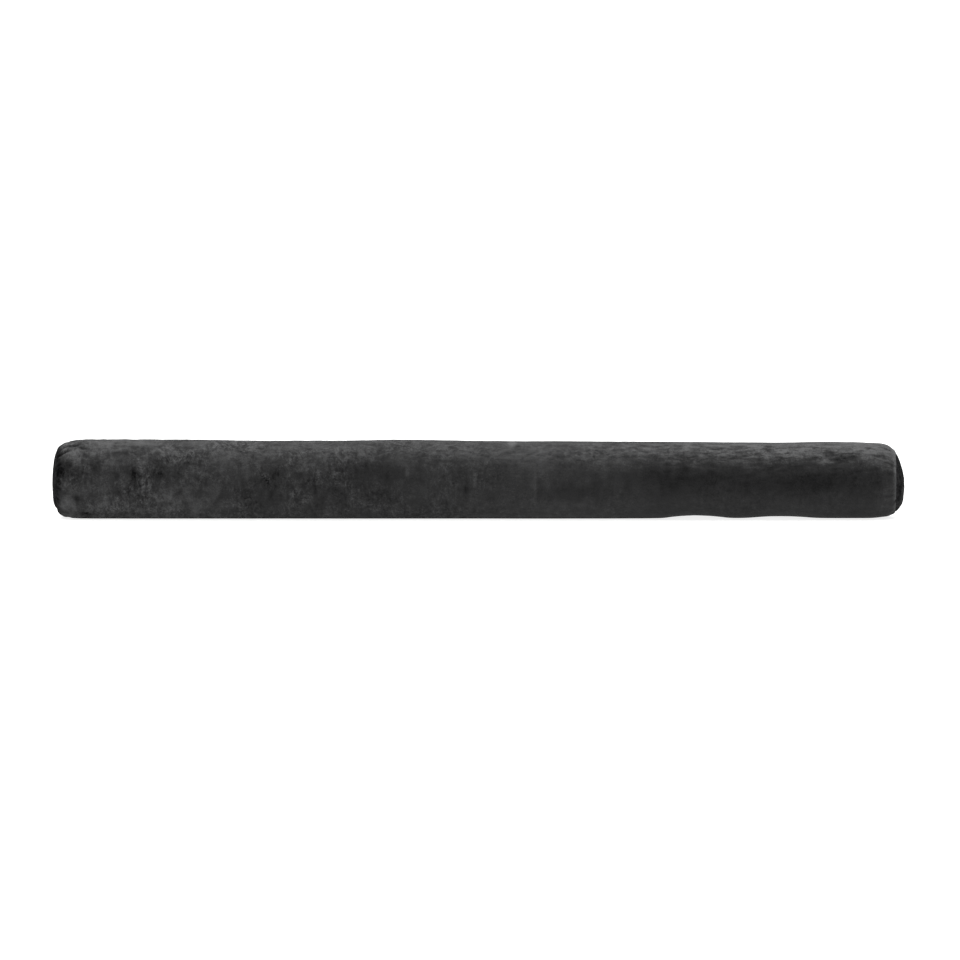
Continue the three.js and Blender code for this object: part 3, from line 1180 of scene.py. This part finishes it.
def shadeTurnedAway(tree, tone, amount):
    # Painted shade: the tone is made darker where the surface is seen from the side
    facing = addNode(tree, "ShaderNodeLayerWeight", Blend=0.5).outputs["Facing"]
    away = addNode(tree, "ShaderNodeMapRange", interpolation_type="SMOOTHSTEP")
    for key, value in {"From Min": 0.15, "From Max": 0.75, "To Max": amount}.items():
        away.inputs[key].default_value = value
    tree.links.new(facing, away.inputs["Value"])
    return addMath(tree, "SUBTRACT", tone, away.outputs["Result"])


def charcoal(level):
    return (level, level, level * 1.01, 1)


def pileColour(tree, tone, plan):
    # A charcoal that runs from dark to light as the tone rises
    ramp = addNode(tree, "ShaderNodeValToRGB")
    share = addMath(tree, "ADD", addMath(tree, "MULTIPLY", tone, plan["contrast"]), 0.5)
    tree.links.new(share, ramp.inputs["Fac"])
    ramp.color_ramp.interpolation = "LINEAR"
    dark, light = ramp.color_ramp.elements
    dark.position = 0.0
    light.position = 1.0
    dark.color = charcoal(plan["dark"])
    light.color = charcoal(plan["light"])
    ramp.color_ramp.elements.new(0.5).color = charcoal(plan["middle"])
    return ramp.outputs[0]


def velvet(name, plan):
    material = bpy.data.materials.new(name)
    material.use_nodes = True
    tree = material.node_tree
    tree.nodes.clear()
    marks = velvetMarks(tree, plan)
    tone = addMath(tree, "MULTIPLY", marks["nap"], plan["naps"])
    for mark, strength in plan["tones"].items():
        tone = addMath(tree, "ADD", tone, addMath(tree, "MULTIPLY", marks[mark], strength))
    if plan["turnedAwayShade"]:
        tone = shadeTurnedAway(tree, tone, plan["turnedAwayShade"])
    relief = 0.0
    for mark, strength in plan["bumps"].items():
        relief = addMath(tree, "ADD", relief, addMath(tree, "MULTIPLY", marks[mark], strength))
    bump = addNode(tree, "ShaderNodeBump", Strength=0.7, Distance=plan["bumpDepth"])
    cloth = addNode(tree, "ShaderNodeBsdfPrincipled")
    cloth.inputs["Specular IOR Level"].default_value = plan["specular"]
    cloth.inputs["Sheen Weight"].default_value = plan["sheen"]
    cloth.inputs["Sheen Roughness"].default_value = plan["sheenRoughness"]
    cloth.inputs["Sheen Tint"].default_value = (0.8, 0.8, 0.82, 1)
    output = addNode(tree, "ShaderNodeOutputMaterial")
    rough = addMath(tree, "ADD", addMath(tree, "MULTIPLY", tone, -0.1), plan["roughness"])
    tree.links.new(relief, bump.inputs["Height"])
    tree.links.new(pileColour(tree, tone, plan), cloth.inputs["Base Color"])
    tree.links.new(rough, cloth.inputs["Roughness"])
    tree.links.new(bump.outputs[0], cloth.inputs["Normal"])
    tree.links.new(cloth.outputs[0], output.inputs["Surface"])
    return material


velvetSleeve.data.materials.append(velvet("crushed velvet", velvetPlan))
panelVelvet = velvet("crushed velvet, end panels", {**velvetPlan, **endPlan})
for piece in endPieces.values():
    piece.data.materials.append(panelVelvet)


threadPlan = {
    "dark": 0.016,
    "light": 0.045,
    "plyScale": 900.0,  # larger for finer plies
    "plyDepth": 0.1 * mm,
    "roughness": 0.6,
    "specular": 0.3,
}


def threadFinish(plan):
    material = bpy.data.materials.new("sewing thread")
    material.use_nodes = True
    tree = material.node_tree
    cloth = tree.nodes["Principled BSDF"]
    place = addNode(tree, "ShaderNodeTexCoord").outputs["Object"]
    ply = addNode(tree, "ShaderNodeTexWave", Scale=plan["plyScale"], Distortion=1.5)
    ramp = addNode(tree, "ShaderNodeValToRGB")
    bump = addNode(tree, "ShaderNodeBump", Strength=0.5, Distance=plan["plyDepth"])
    for element, level in zip(ramp.color_ramp.elements, (plan["dark"], plan["light"])):
        element.color = (level, level, level * 1.02, 1)
    tree.links.new(place, ply.inputs["Vector"])
    tree.links.new(ply.outputs["Fac"], ramp.inputs["Fac"])
    tree.links.new(ply.outputs["Fac"], bump.inputs["Height"])
    tree.links.new(ramp.outputs[0], cloth.inputs["Base Color"])
    tree.links.new(bump.outputs[0], cloth.inputs["Normal"])
    cloth.inputs["Roughness"].default_value = plan["roughness"]
    cloth.inputs["Specular IOR Level"].default_value = plan["specular"]
    return material


closingStitches = makeStitches(sleeveSkin, stitchPlan, threadFinish(threadPlan))
print("finishes made, stitches:", len(closingStitches.data.polygons), "faces")


studioPlan = {
    "floor": 0.45,
    "floorGlow": 0.82,
    "floorHalf": 300.0,
    "floorDrop": 0.2 * mm,  # under the roll, so the two don't share a plane
    "topLight": 5.3,
    "topSpread": 76.0,
    "topTilt": 14.0,
    "room": 0.30,
    "backdrop": 1.1,
}


def makeFloor(plan):
    half = plan["floorHalf"]
    corners = [(-half, -half, 0), (half, -half, 0), (half, half, 0), (-half, half, 0)]
    floor = meshPiece("floor", corners, [(0, 1, 2, 3)])
    floor.location.z = -plan["floorDrop"]
    material = bpy.data.materials.new("pale floor")
    material.use_nodes = True
    paint = material.node_tree.nodes["Principled BSDF"]
    level = plan["floor"]
    paint.inputs["Base Color"].default_value = (level, level, level, 1)
    paint.inputs["Roughness"].default_value = 0.9
    paint.inputs["Specular IOR Level"].default_value = 0.0
    paint.inputs["Emission Color"].default_value = (1, 1, 1, 1)
    paint.inputs["Emission Strength"].default_value = plan["floorGlow"]
    floor.data.materials.append(material)


def lightStudio(plan):
    sun = bpy.data.lights.new("soft top light", "SUN")
    sun.energy = plan["topLight"]
    sun.angle = math.radians(plan["topSpread"])
    lamp = bpy.data.objects.new("soft top light", sun)
    lamp.rotation_euler = (-math.radians(plan["topTilt"]), 0, 0)
    bpy.context.scene.collection.objects.link(lamp)
    world = bpy.data.worlds.new("room")
    world.use_nodes = True
    tree = world.node_tree
    seen = addNode(tree, "ShaderNodeBackground", Color=(1, 1, 1, 1), Strength=plan["backdrop"])
    room = tree.nodes["Background"]
    room.inputs["Color"].default_value = (1, 1, 1, 1)
    room.inputs["Strength"].default_value = plan["room"]
    ray = addNode(tree, "ShaderNodeLightPath")
    mix = addNode(tree, "ShaderNodeMixShader")
    tree.links.new(ray.outputs["Is Camera Ray"], mix.inputs[0])
    tree.links.new(room.outputs[0], mix.inputs[1])
    tree.links.new(seen.outputs[0], mix.inputs[2])
    tree.links.new(mix.outputs[0], tree.nodes["World Output"].inputs["Surface"])
    bpy.context.scene.world = world
    bpy.context.scene.view_settings.view_transform = "Standard"


makeFloor(studioPlan)
lightStudio(studioPlan)
print("studio lit")


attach(velvetSleeve, "root")
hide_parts("sleeve")
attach(closingStitches, "root")
for name, end in ends.items():
    piece = endPieces[name]
    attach(piece, "root")
    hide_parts(end["node"])

print("done")
